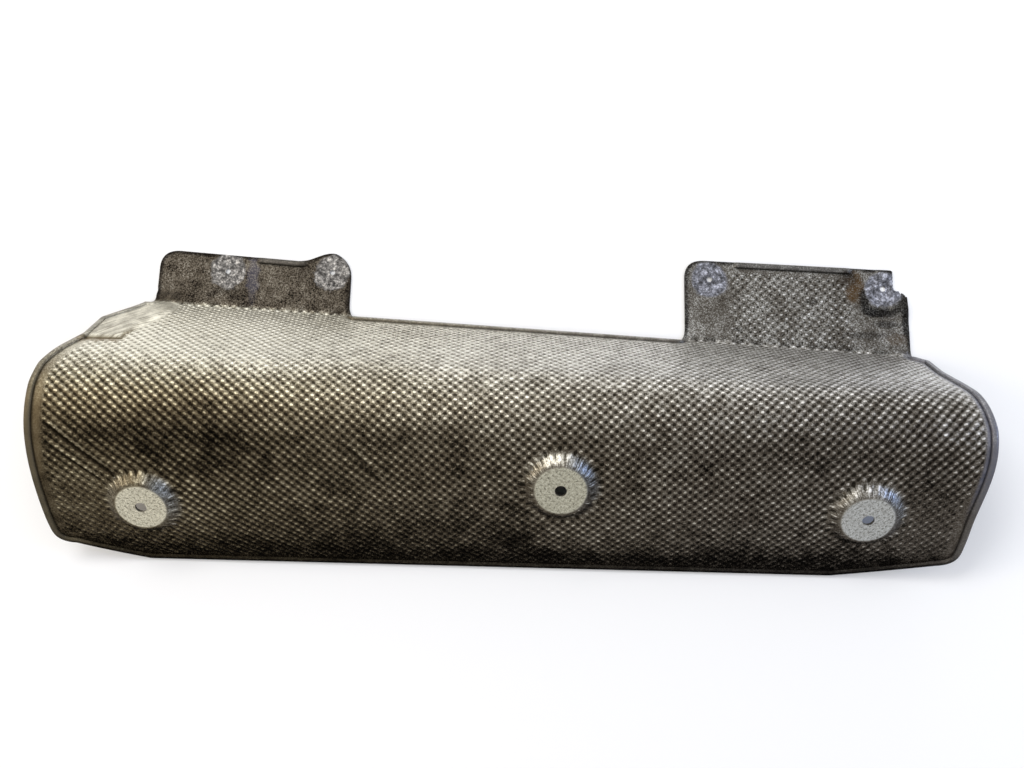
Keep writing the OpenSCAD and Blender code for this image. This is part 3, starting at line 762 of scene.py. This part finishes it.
def outer_points_of(edge_loop, rings):
    """Points of the outer face: hem bands, pad rings, crease rows, crust grids and the pattern's grid."""
    bands = [inset(edge_loop, d) for d in (0.0003, 0.0008, 0.0016, 0.0034, 0.0039, 0.0043, 0.0047)]
    bands = [b[~near_tab_hole(b)] if k > 2 else b for k, b in enumerate(bands)]
    fill = pattern_points()
    fill = fill[(np.abs(fill[:, 0]) < HALF_LENGTH) & (fill[:, 1] > 0) & (fill[:, 1] < 0.32)]
    fill = fill[inside(fill, edge_loop)]
    fill = fill[distance_to(fill, edge_loop) > 0.0053]
    rng = np.random.default_rng(3)
    for number, loop in enumerate(rings):
        centre = loop.mean(0)
        away = np.linalg.norm(fill - centre, axis=1)
        bands.append(centre + (loop - centre) * 1.15)
        if number < len(PADS):
            fill = fill[away > PAD_R + 0.0102]
            bands += [ring(centre, r, RING_COUNT // (2 if r < 0.013 else 1)) for r in PAD_RINGS]
        else:
            fill = fill[away > CRUST_REACH]
            i, j = np.meshgrid(np.arange(-14, 15), np.arange(-14, 15))
            dots = np.stack([i.ravel(), j.ravel()], 1) + rng.uniform(-0.3, 0.3, (i.size, 2))
            dots = centre + CRUST_STEP * dots
            away = np.linalg.norm(dots - centre, axis=1)
            dots = dots[(away < CRUST_REACH - 0.0006) & (away > CRUST_OPENING * 1.15 + 0.0005)]
            dots = dots[inside(dots, edge_loop)]
            bands.append(dots[distance_to(dots, edge_loop) > 0.0006])
    rows = np.concatenate(crease_points())
    rows = rows[[np.linalg.norm(p - np.array(PADS), axis=1).min() > PAD_R + 0.0110 for p in rows]]
    fill = apart(fill, rows, 0.0010)
    return as_stored(np.concatenate([edge_loop] + rings + bands + [rows, fill]))


def inner_points_of(edge_loop, rings):
    """Points of the plainer inner face."""
    i, j = np.meshgrid(np.arange(-0.298, 0.298, 0.008), np.arange(0.002, 0.32, 0.006), indexing="ij")
    plain = np.stack([i.ravel(), j.ravel()], 1)
    plain = plain[inside(plain, edge_loop)]
    plain = plain[distance_to(plain, edge_loop) > 0.003]
    for loop in rings:
        plain = plain[np.linalg.norm(plain - loop.mean(0), axis=1) > PAD_HOLE_R + 0.003]
    return as_stored(np.concatenate([edge_loop] + rings + [plain]))


def ragged_share(seed, count):
    """Uneven shares from 0.6 to 1 for the points of a closed ring, as a column."""
    share = np.random.default_rng(seed).uniform(0.6, 1.0, count)
    return ((np.roll(share, 1) + 2 * share + np.roll(share, -1)) / 4)[:, None]


def shield_mesh(peak_height):
    """The whole sheet as one closed mesh, with the values that its finish reads."""
    edge_loop = as_stored(outline())
    rings = [as_stored(ring(np.array(p), PAD_HOLE_R, PAD_OPENING_COUNT)) for p in PADS]
    count = TAB_OPENING_COUNT
    grown = rings + [as_stored(tab_ring(h, CRUST_OPENING * ragged_share(k, count), count))
                     for k, h in enumerate(TAB_HOLES)]
    rings = rings + [as_stored(tab_ring(h, TAB_HOLE_R, count)) for h in TAB_HOLES]
    loops, first = [], 0
    for loop in [edge_loop] + rings:
        loops.append((first, len(loop)))
        first += len(loop)
    outer, inner = outer_points_of(edge_loop, grown), inner_points_of(edge_loop, rings)
    outer_faces = triangles(outer, loops, edge_loop, grown)
    inner_faces = triangles(inner, loops, edge_loop, rings)[:, ::-1]

    x, s = outer.T
    look = surface(x, s, distance_to(outer, edge_loop))
    height = HALF_T - TOP_GAP - peak_height / 2 + peak_height / 2 * pattern(*drawn(x, s)) * look["raised"]
    height += look["pad"] * peak_height / 2
    height += CRUST_SWELL * look["crust"] * (clouds(x, s, 0.0035, 5) - 0.6)
    height += TORN_HEIGHT * look["torn"] * (clouds(x, s, 0.012, 8) - 0.5)
    height -= CREASE_DEPTH * crease(x, s) + DENT_DEPTH * spots(x, s, DENTS)
    height += 0.0012 * look["lift"] - 0.0005 * look["fold"]
    height = height * (1 - look["hem"]) + hem_profile(look["edge"]) * look["hem"]
    height -= 0.0004 * np.clip(1 - look["edge"] / 0.0003, 0, 1) * (1 - look["hem"])
    points, own_slope = sheet_place(x, s)
    points, out = pad_lift(points, x, s, out_of(own_slope))
    outer_points = points + out * height[:, None]
    faced = 0.5 * out + 0.5 * vertex_normals(outer_points, outer_faces)

    xi, si = inner.T
    inner_points, slope = sheet_place(xi, si)
    inner_points, out = pad_lift(inner_points, xi, si, out_of(slope))
    inner_points = inner_points - out * HALF_T

    shift = len(outer)
    sides = []
    for first, count in loops:
        k = np.arange(count)
        a, b = first + k, first + (k + 1) % count
        sides += [np.stack([a, a + shift, b + shift], 1), np.stack([a, b + shift, b], 1)]
    faces = np.concatenate([outer_faces, inner_faces + shift] + sides)
    # The darker values where a place faces forwards are painted shade, and the lighter ones where it faces
    # back are painted highlights
    look["soil"] = soil_and_shading_of(x, s, look, np.degrees(np.arctan2(-faced[:, 1], faced[:, 2]) - own_slope))
    look["cover"], look["tint"] = cover_of(x, s, look), tint_of(x, look)
    inside_face = {"raised": INNER_SHOW, "soil": INNER_SOIL, "tint": 1.0}
    values = {}
    for name in ("raised", "tab", "pad", "crust", "flat", "soil", "skirt", "from_pad", "cover", "tint"):
        rest = np.full((len(inner),) + look[name].shape[1:], inside_face.get(name, 0.0))
        values[name] = np.concatenate([look[name], rest])
    flat_place = np.stack(drawn(*np.concatenate([outer, inner]).T), 1)
    return np.concatenate([outer_points, inner_points]), faces, values, flat_place


# Finishes

MATH, RANGE, MIX = "ShaderNodeMath", "ShaderNodeMapRange", "ShaderNodeMix"
NOISE, ATTRIBUTE, SPLIT = "ShaderNodeTexNoise", "ShaderNodeAttribute", "ShaderNodeSeparateXYZ"

# What makes a mix node blend colours
COLOURS = {"give": 2, "data_type": "RGBA"}

# The colours of the pits, the ground and the peaks of the pattern, from clean metal to caked dirt; the pale
# peak colours are painted highlights over cleaner metal
PIT_STAINS = ((0.06, "#9F9B8E"), (0.25, "#5A554A"), (0.45, "#29251D"), (0.62, "#231E17"),
              (0.75, "#1B1711"), (0.97, "#020201"))
GROUND_STAINS = ((0.06, "#DBD8CC"), (0.25, "#9F9B90"), (0.45, "#6B665C"), (0.62, "#544D42"),
                 (0.75, "#494238"), (0.97, "#0D0B09"))
PEAK_HIGHLIGHT_STAINS = ((0.06, "#FBF9F2"), (0.25, "#F3F0E6"), (0.45, "#DDD9CC"), (0.62, "#ADA798"),
               (0.75, "#837C6E"), (0.97, "#26221B"))
SALT_SHADES = ((0.38, "#2E2D2D"), (0.46, "#605F5F"), (0.54, "#8A8989"), (0.64, "#E2E1E0"))


def put(tree, kind, links=(), give=0, shades=(), **settings):
    """Adds one node with its settings and links, and gives back one of its outputs."""
    made = tree.nodes.new(kind)
    for name, value in settings.items():
        setattr(made, name, value)
    for socket, value in dict(links).items():
        if isinstance(value, bpy.types.NodeSocket):
            tree.links.new(value, made.inputs[socket])
        elif made.inputs[socket].type == "RGBA":
            made.inputs[socket].default_value = (*value[:3], 1)
        else:
            made.inputs[socket].default_value = value
    for number, (at, code) in enumerate(shades):
        marks = made.color_ramp.elements
        mark = marks[number] if number < 2 else marks.new(at)
        mark.position, mark.color = at, (*srgb(code), 1)
    return made.outputs[give] if len(made.outputs) else None


def emptied(owner):
    """Empties the node tree of a new material or world, and gives back the call that adds to it."""
    owner.use_nodes = True
    owner.node_tree.nodes.clear()
    return partial(put, owner.node_tree)


def pattern_height(add, flat_map):
    """The embossed pattern again, from the sheet's own flat measure in millimetres, so that its finish is
    in step; how near a place lies to the middle of a row of peaks; and a random value for each peak,
    which sets how bright its painted highlight is."""
    flat = add(SPLIT, {0: flat_map})
    along, up = flat, flat.node.outputs[1]
    c, n = math.cos(PATTERN_TURN) / 1000, math.sin(PATTERN_TURN) / 1000
    middle, reach = 1000 * RIDGE_MIDDLE, 1000 * RIDGE_REACH
    lean = add(RANGE, {0: along, 1: middle - reach, 2: middle + reach, 3: -RIDGE_LEAN, 4: RIDGE_LEAN})
    even = add(RANGE, {0: up, 1: 1000 * EVEN_FROM, 2: 1000 * EVEN_TO, 3: 1.0, 4: EVEN_SHARE})
    lean = add(MATH, {0: lean, 1: even}, operation="MULTIPLY")
    total, counts, turns = -1.0, [], []
    for sign in (1, -1):
        turn = add(MATH, {0: along, 1: c / PITCH_ALONG - sign * n / PITCH_UP}, operation="MULTIPLY")
        turn = add(MATH, {0: up, 1: n / PITCH_ALONG + sign * c / PITCH_UP, 2: turn},
                   operation="MULTIPLY_ADD")
        counts.append(add(MATH, {0: turn}, operation="ROUND"))
        turns.append(turn)
        wave = add(MATH, {0: turn, 1: 2 * math.pi}, operation="MULTIPLY")
        wave = add(MATH, {0: wave}, operation="COSINE")
        wave = add(MATH, {0: wave, 1: 0.5, 2: 0.5}, operation="MULTIPLY_ADD")
        ridge = add(MATH, {0: wave, 1: RIDGE_SHARPNESS}, operation="POWER")
        share = add(MATH, {0: lean, 1: -sign, 2: 1.0}, operation="MULTIPLY_ADD")
        total = add(MATH, {0: ridge, 1: share, 2: total}, operation="MULTIPLY_ADD")
    row = add(MATH, {0: turns[0], 1: turns[1]}, operation="SUBTRACT")
    row = add(MATH, {0: row, 1: 2 * math.pi}, operation="MULTIPLY")
    row = add(MATH, {0: row}, operation="COSINE")
    cell = add("ShaderNodeCombineXYZ", {0: counts[0], 1: counts[1]})
    return total, row, add("ShaderNodeTexWhiteNoise", {"Vector": cell}, noise_dimensions="2D")


def embossed_aluminium(settings):
    """Soft aluminium sheet, rolled with a raised pattern, then stained by heat and road dirt.

    The peaks carry painted highlights over cleaner metal, the pits hold brown-black dirt, and the metal's own
    gloss is soft. Painted shade and reflection lie in its staining, and painted highlights streak the skirts
    round the pads."""
    finish = bpy.data.materials.new("embossed_aluminium")
    add = emptied(finish)
    place = add("ShaderNodeTexCoord", give="Object")
    flat_map = add("ShaderNodeUVMap", uv_map="sheet_mm")
    raised, tab, pad, crust, flat, soil, skirt = (
        add(ATTRIBUTE, give="Fac", attribute_name=name)
        for name in ("raised", "tab", "pad", "crust", "flat", "soil", "skirt"))
    height, row, luck = pattern_height(add, flat_map)

    # Dirt gathers in patches of about 8 mm and in specks, rougher on the tabs. Real grit is a few tenths
    # of a millimetre, which wouldn't show, so the specks are drawn about a millimetre across
    patches = add(NOISE, {"Vector": place, "Scale": 1 / 0.008, "Detail": 3.0})
    specks = add(NOISE, {"Vector": place, "Scale": 1 / 0.0011, "Detail": 3.0, "Roughness": 0.9})
    patchy = add(RANGE, {0: patches, 1: 0.3, 2: 0.7, 3: -0.09, 4: 0.09})
    speckled = add(RANGE, {0: specks, 1: 0.38, 2: 0.62, 3: -1.0, 4: 1.0})
    rugged = add(RANGE, {0: tab, 3: 0.19, 4: 0.28})
    rugged = add(MATH, {0: flat, 1: -0.15, 2: rugged}, operation="MULTIPLY_ADD")
    # The dirt values read here also carry painted shade and painted reflection
    stain_and_shading = add(MATH, {0: soil, 1: patchy}, operation="ADD")
    stain_and_shading = add(MATH, {0: speckled, 1: rugged, 2: stain_and_shading}, operation="MULTIPLY_ADD")

    # Where a skirt was drawn up, its folds run out from the pad, and painted highlights lie along them in
    # streaks
    from_pad = add(SPLIT, {0: add(ATTRIBUTE, give="Vector", attribute_name="from_pad")})
    turn = add(MATH, {0: from_pad, 1: from_pad.node.outputs[1]}, operation="ARCTAN2")
    rays = add(NOISE, {"W": turn, "Scale": 25.0, "Detail": 1.5, "Roughness": 0.6}, noise_dimensions="1D")
    ray_highlight = add(RANGE, {0: rays, 1: 0.38, 2: 0.64, 3: -0.10, 4: -0.44})
    stain_and_shading = add(MATH, {0: ray_highlight, 1: skirt, 2: stain_and_shading}, operation="MULTIPLY_ADD")

    # The facet has the long soft streaks of rolled metal, about a millimetre across
    streaked = add("ShaderNodeMapping", {"Vector": flat_map, "Rotation": (0, 0, FACET_TURN),
                                         "Scale": (30, 1.0, 1)}, vector_type="TEXTURE")
    streaks = add(NOISE, {"Vector": streaked, "Scale": 1.0, "Detail": 3.0})
    streaks = add(RANGE, {0: streaks, 1: 0.3, 2: 0.7, 3: -0.06, 4: 0.22})
    stain_and_shading = add(MATH, {0: streaks, 1: flat, 2: stain_and_shading}, operation="MULTIPLY_ADD", use_clamp=True)

    relief = add(MATH, {0: height, 1: raised}, operation="MULTIPLY")
    pit = add(RANGE, {0: relief, 1: -0.30, 2: -0.62})
    # Each peak's painted highlight is drawn out along the rows, so that each shows as a short dash
    highlight_dash = add(RANGE, {0: row, 1: -1.0, 2: 1.0, 3: -0.55, 4: 0.0})
    peak = add(MATH, {0: relief, 1: highlight_dash}, operation="ADD")
    peak = add(RANGE, {0: peak, 1: 0.20, 2: 0.62})
    luck = add(RANGE, {0: luck, 3: 0.40, 4: 1.15})
    peak = add(MATH, {0: peak, 1: luck}, operation="MULTIPLY")
    shades = [add("ShaderNodeValToRGB", {0: stain_and_shading}, shades=scale)
              for scale in (GROUND_STAINS, PIT_STAINS, PEAK_HIGHLIGHT_STAINS)]
    colour = add(MIX, {0: pit, 6: shades[0], 7: shades[1]}, **COLOURS)
    colour = add(MIX, {0: peak, 6: colour, 7: shades[2]}, **COLOURS)

    # On the pads the pattern is crushed flat, and only dashes of its pits are left
    dashes = add(MATH, {0: speckled, 1: 0.40, 2: height}, operation="MULTIPLY_ADD")
    dashes = add(RANGE, {0: dashes, 1: -0.50, 2: -1.15, 3: 0.0, 4: 0.65})
    crushed = add(RANGE, {0: speckled, 1: -1.0, 2: 1.0})
    crushed = add(MIX, {0: crushed, 6: srgb("#9A9484"), 7: settings.crushed_metal}, **COLOURS)
    crushed = add(MIX, {0: dashes, 6: crushed, 7: srgb("#5B564B")}, **COLOURS)
    colour = add(MIX, {0: pad, 6: colour, 7: crushed}, **COLOURS)

    cover = add(ATTRIBUTE, give="Color", attribute_name="cover")
    thick = add(RANGE, {0: speckled, 1: -0.9, 2: 0.4, 3: 0.70, 4: 1.0})
    thick = add(MATH, {0: thick, 1: cover.node.outputs["Alpha"]}, operation="MULTIPLY")
    colour = add(MIX, {0: thick, 6: colour, 7: cover}, **COLOURS)

    # White rust round the tab holes: a pale dry crust with bright flecks of a few millimetres
    flecks = add(NOISE, {"Vector": place, "Scale": 1 / 0.0032, "Detail": 5.0, "Roughness": 0.8})
    salt = add("ShaderNodeValToRGB", {0: flecks}, shades=SALT_SHADES)
    salt = add(MIX, {0: 1.0, 6: salt, 7: settings.white_rust}, **COLOURS, blend_type="MULTIPLY")
    colour = add(MIX, {0: crust, 6: colour, 7: salt}, **COLOURS)
    tint = add(ATTRIBUTE, give="Color", attribute_name="tint")
    colour = add(MIX, {0: 1.0, 6: colour, 7: tint}, **COLOURS, blend_type="MULTIPLY")

    rough = add(RANGE, {0: stain_and_shading, 3: 0.40, 4: 0.60})
    rough = add(MATH, {0: crust, 1: 0.25, 2: rough}, operation="MULTIPLY_ADD")
    metal = add(RANGE, {0: crust, 3: 0.95, 4: 0.20})
    glancing = add(RANGE, {0: stain_and_shading, 1: 0.60, 2: 1.0, 3: 1.0, 4: 0.15})
    fine = add("ShaderNodeBump", {"Height": specks, "Strength": 0.4, "Distance": 0.0002})
    shader = add("ShaderNodeBsdfPrincipled", {
        "Base Color": colour, "Roughness": rough, "Metallic": metal, "Specular Tint": glancing,
        "Normal": fine})
    add("ShaderNodeOutputMaterial", {"Surface": shader})
    return finish


def studio_paper(settings):
    """Matt white paper on the floor: it shows as the plain background, and keeps the part's shadow."""
    finish = bpy.data.materials.new("studio_paper")
    add = emptied(finish)
    shader = add("ShaderNodeBsdfPrincipled", {"Base Color": settings.paper, "Roughness": 0.9})
    add("ShaderNodeOutputMaterial", {"Surface": shader})
    return finish


# Settings

class ShieldSettings(bpy.types.PropertyGroup):
    """Sizes and colours of the heat shield."""
    peak_height: bpy.props.FloatProperty(
        name="Pattern height", description="Height of the raised pattern, from pit to peak",
        default=0.0009, min=0.0003, max=0.0012, unit="LENGTH")
    crushed_metal: bpy.props.FloatVectorProperty(
        name="Crushed metal", description="Colour of the aluminium on the flat pads",
        default=srgb("#E2DDCC"), subtype="COLOR", size=3, min=0, max=1)
    white_rust: bpy.props.FloatVectorProperty(
        name="White rust", description="Tint of the dry crust round the tab holes",
        default=srgb("#FBFBFC"), subtype="COLOR", size=3, min=0, max=1)


class StageSettings(bpy.types.PropertyGroup):
    """Light and floor."""
    floor_size: bpy.props.FloatProperty(
        name="Floor size", description="Width of the square floor", default=8.0, unit="LENGTH")
    paper: bpy.props.FloatVectorProperty(
        name="Paper", description="Colour of the paper on the floor",
        default=srgb("#F4F4F4"), subtype="COLOR", size=3, min=0, max=1)
    key_power: bpy.props.FloatProperty(
        name="Key light", description="Power of the main soft light", default=10.0, unit="POWER")
    rear_power: bpy.props.FloatProperty(
        name="Rear light", description="Power of the soft light behind the shield", default=4.0, unit="POWER")
    side_power: bpy.props.FloatProperty(
        name="Side lights", description="Power of the warm left light and the cool right one",
        default=5.0, unit="POWER")


# Operators

class SHIELD_OT_build(bpy.types.Operator):
    """Build the embossed sheet with its hem, pads and tabs"""
    bl_idname = "shield.build"
    bl_label = "Build the heat shield"

    def execute(self, context):
        settings = context.scene.shield_settings
        points, faces, values, flat_place = shield_mesh(settings.peak_height)
        mesh = bpy.data.meshes.new("heat_shield_sheet")
        mesh.from_pydata(points.tolist(), [], faces.tolist())
        corners = np.empty(3 * len(mesh.polygons), np.int32)
        mesh.loops.foreach_get("vertex_index", corners)
        flat_map = mesh.uv_layers.new(name="sheet_mm")
        flat_map.data.foreach_set("uv", (1000 * flat_place[corners]).ravel().astype(np.float32))
        for name, numbers in values.items():
            kind, field = VALUE_KINDS[numbers.shape[1] if numbers.ndim == 2 else 1]
            layer = mesh.attributes.new(name, kind, "POINT")
            layer.data.foreach_set(field, numbers.ravel().astype(np.float32))
        mesh.shade_smooth()
        mesh.set_sharp_from_angle(angle=SHARP_ANGLE)
        mesh.validate()
        piece = bpy.data.objects.new("heat_shield_sheet", mesh)
        context.scene.collection.objects.link(piece)
        mesh.materials.append(embossed_aluminium(settings))
        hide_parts("heat_shield")
        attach(piece, "root")
        return {"FINISHED"}


def lamp(context, name, power, size, place, aim, colour):
    light = bpy.data.lights.new(name, "AREA")
    light.energy, light.shape = power, "RECTANGLE"
    light.size, light.size_y = size
    light.color = srgb(colour)
    holder = bpy.data.objects.new(name, light)
    context.scene.collection.objects.link(holder)
    holder.location = place
    holder.rotation_euler = (Vector(aim) - Vector(place)).to_track_quat("-Z", "Y").to_euler()


class SHIELD_OT_stage(bpy.types.Operator):
    """Set up the floor, the lights, the background and the camera"""
    bl_idname = "shield.stage"
    bl_label = "Set up the stage"

    def execute(self, context):
        settings = context.scene.stage_settings
        half = settings.floor_size / 2
        mesh = bpy.data.meshes.new("studio_floor")
        corners = [(-half, -half, 0), (half, -half, 0), (half, half, 0), (-half, half, 0)]
        mesh.from_pydata(corners, [], [(0, 1, 2, 3)])
        floor = bpy.data.objects.new("studio_floor", mesh)
        floor.location.z = CAD_BOUNDS[0][2] - 0.0002
        mesh.materials.append(studio_paper(settings))
        context.scene.collection.objects.link(floor)

        for name, power, *rest in LAMPS:
            lamp(context, name, getattr(settings, power), *rest)

        world = bpy.data.worlds.new("studio")
        add = emptied(world)
        camera_ray = add("ShaderNodeLightPath", give="Is Camera Ray")
        path = camera_ray.node.outputs
        seen = add(MATH, {0: camera_ray, 1: path["Is Glossy Ray"]}, operation="MAXIMUM")
        seen = add(MATH, {0: seen, 1: path["Is Transmission Ray"]}, operation="MAXIMUM")
        strength = add(RANGE, {0: seen, 3: WORLD_STRENGTH, 4: SEEN_STRENGTH})
        back = add("ShaderNodeBackground", {"Color": (1, 1, 1), "Strength": strength})
        add("ShaderNodeOutputWorld", {"Surface": back})
        context.scene.world = world

        lens = bpy.data.cameras.new("camera")
        lens.sensor_fit, lens.sensor_width, lens.lens = "HORIZONTAL", 36.0, CAMERA_LENS
        camera = bpy.data.objects.new("camera", lens)
        context.scene.collection.objects.link(camera)
        elevation, azimuth, roll = (math.radians(a) for a in CAMERA_ANGLES)
        camera.matrix_world = (
            Matrix.Translation(CAMERA_PLACE) @ Matrix.Rotation(azimuth, 4, "Z")
            @ Matrix.Rotation(math.pi / 2 - elevation, 4, "X") @ Matrix.Rotation(roll, 4, "Z"))
        context.scene.camera = camera
        context.scene.view_settings.view_transform = "Standard"
        return {"FINISHED"}


class SHIELD_PT_panel(bpy.types.Panel):
    """Sizes, colours and steps of the heat shield"""
    bl_idname = "SHIELD_PT_panel"
    bl_label = "Heat shield"
    bl_space_type = "VIEW_3D"
    bl_region_type = "UI"
    bl_category = "Heat shield"

    def draw(self, context):
        for group in (context.scene.shield_settings, context.scene.stage_settings):
            for name in group.bl_rna.properties.keys():
                if name not in ("rna_type", "name"):
                    self.layout.prop(group, name)
        for step in STEPS:
            self.layout.operator(step)


STEPS = ("shield.build", "shield.stage")
CLASSES = (ShieldSettings, StageSettings, SHIELD_OT_build, SHIELD_OT_stage, SHIELD_PT_panel)


def register():
    for made in CLASSES:
        bpy.utils.register_class(made)
    bpy.types.Scene.shield_settings = bpy.props.PointerProperty(type=ShieldSettings)
    bpy.types.Scene.stage_settings = bpy.props.PointerProperty(type=StageSettings)


def unregister():
    del bpy.types.Scene.stage_settings
    del bpy.types.Scene.shield_settings
    for made in reversed(CLASSES):
        bpy.utils.unregister_class(made)


def main():
    register()
    bpy.ops.shield.build()
    bpy.ops.shield.stage()


if __name__ == "__main__":
    main()
